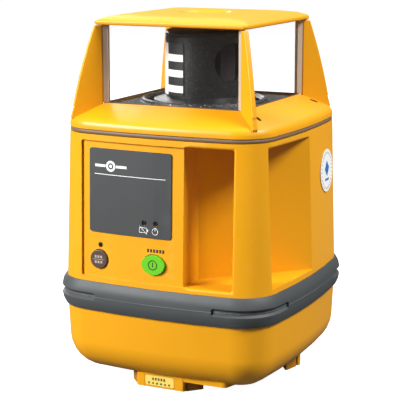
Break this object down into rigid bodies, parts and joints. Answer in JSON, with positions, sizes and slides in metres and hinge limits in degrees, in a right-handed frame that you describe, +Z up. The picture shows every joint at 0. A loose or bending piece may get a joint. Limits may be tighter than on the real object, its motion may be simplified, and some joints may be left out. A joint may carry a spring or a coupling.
{
  "type": "rotating laser level",
  "caption": "Self-levelling rotating laser level: a spinning laser head in a glazed four-post cage on a square casing with a corner hand grip, bumper band, control panel and tripod base.",
  "frame": {"origin": "on the floor plane under the centre of the bumper band, below the spin axis", "axes": "+Z up along the spin axis, -Y out of the control panel, +X to the right side with the hand grip"},
  "size_m": [0.1662, 0.1662, 0.2472],
  "materials": {
    "casing": "satin, fine moulded grain",
    "metal": "machined",
    "steel": "ground",
    "brass": "machined",
    "foot_rubber": "matt",
    "plate": "satin",
    "black": "fine grain",
    "cell": "printed sleeve",
    "label": "printed film",
    "brown": "semi-gloss",
    "green": "semi-gloss",
    "led": "clear over dark",
    "board": "solder mask",
    "white": "printed film",
    "bumper": "matt",
    "gasket": "matt",
    "glass": "clear",
    "seal": "translucent"
  },
  "bodies": {
    "housing": {"auto_led": "led", "base_plate": "metal", "bumper_band": "bumper", "chassis": "metal", "control_board": "board", "corner_seal_1": "seal", "corner_seal_2": "seal", "corner_seal_3": "seal", "corner_seal_4": "seal", "deck_plate": "black", "foot_front": "casing", "foot_pad_front": "foot_rubber", "foot_pad_rear_left": "foot_rubber", "foot_pad_rear_right": "foot_rubber", "foot_rear_left": "casing", "foot_rear_right": "casing", "housing_gasket": "gasket", "inspection_sticker": "white", "levelling_motor_pitch": "metal", "levelling_motor_roll": "metal", "low_battery_led": "led", "lower_housing": "casing", "main_body": "casing", "name_plate": "plate", "panel_label": "label", "power_led": "led", "roof_cover": "casing", "thread_insert": "brass", "upper_housing": "casing", "window_back": "glass", "window_front": "glass", "window_left": "glass", "window_right": "glass"},
    "gimbal": {"gimbal_ring": "metal"},
    "laser_unit": {"laser_tube": "metal", "shaft_bearing": "steel", "collimator_lens": "glass", "laser_diode": "brass", "spin_motor": "metal", "drive_belt": "foot_rubber"},
    "rotor": {"rotor_drum": "black", "rotor_cap": "black", "exit_lens": "glass", "pentaprism": "glass", "scale_strip": "white", "rotor_shaft": "metal"},
    "motor_pulley_body": {"motor_pulley": "brass"},
    "roll_rod": {"levelling_rod_roll": "brass"},
    "pitch_rod": {"levelling_rod_pitch": "brass"},
    "battery_drawer": {"battery_tray": "black", "battery_door": "casing", "battery_cell_1": "cell", "battery_cell_2": "cell", "battery_cell_3": "cell", "battery_cell_4": "cell"},
    "latch_knob": {"battery_latch": "black"},
    "power_key": {"power_button": "green"},
    "auto_key": {"auto_button": "brown"}
  },
  "joints": [
    {"name": "roll_tilt", "type": "hinge", "parent": "housing", "child": "gimbal", "pos_m": [0, 0, 0.166], "axis": [1, 0, 0], "range_deg": [-5, 5]},
    {"name": "pitch_tilt", "type": "hinge", "parent": "gimbal", "child": "laser_unit", "pos_m": [0, 0, 0.166], "axis": [0, 1, 0], "range_deg": [-5, 5]},
    {"name": "rotor_spin", "type": "hinge", "parent": "laser_unit", "child": "rotor", "pos_m": [0, 0, 0.166], "axis": [0, 0, 1], "continuous": true},
    {"name": "motor_spin", "type": "hinge", "parent": "laser_unit", "child": "motor_pulley_body", "pos_m": [0.01945, 0.01945, 0.166], "axis": [0, 0, 1], "continuous": true},
    {"name": "roll_lift", "type": "slide", "parent": "housing", "child": "roll_rod", "axis": [0, 0, 1], "range_m": [-0.0045, 0.0045]},
    {"name": "pitch_lift", "type": "slide", "parent": "housing", "child": "pitch_rod", "axis": [0, 0, 1], "range_m": [-0.0029, 0.0029]},
    {"name": "power_press", "type": "slide", "parent": "housing", "child": "power_key", "axis": [0, 1, 0], "range_m": [0, 0.0012], "stiffness_N_per_m": 300, "springref_m": -0.001},
    {"name": "auto_press", "type": "slide", "parent": "housing", "child": "auto_key", "axis": [0, 1, 0], "range_m": [0, 0.0012], "stiffness_N_per_m": 300, "springref_m": -0.001},
    {"name": "drawer_slide", "type": "slide", "parent": "housing", "child": "battery_drawer", "axis": [0, 1, 0], "range_m": [0, 0.135]},
    {"name": "latch_turn", "type": "hinge", "parent": "battery_drawer", "child": "latch_knob", "pos_m": [0, 0.0775, 0.0322], "axis": [0, 1, 0], "range_deg": [0, 90]}
  ],
  "couplings": [
    {"joint": "motor_spin", "follows": "rotor_spin", "ratio": 2.8},
    {"joint": "roll_lift", "follows": "roll_tilt", "m_per_rad": 0.05},
    {"joint": "pitch_lift", "follows": "pitch_tilt", "m_per_rad": 0.031}
  ]
}
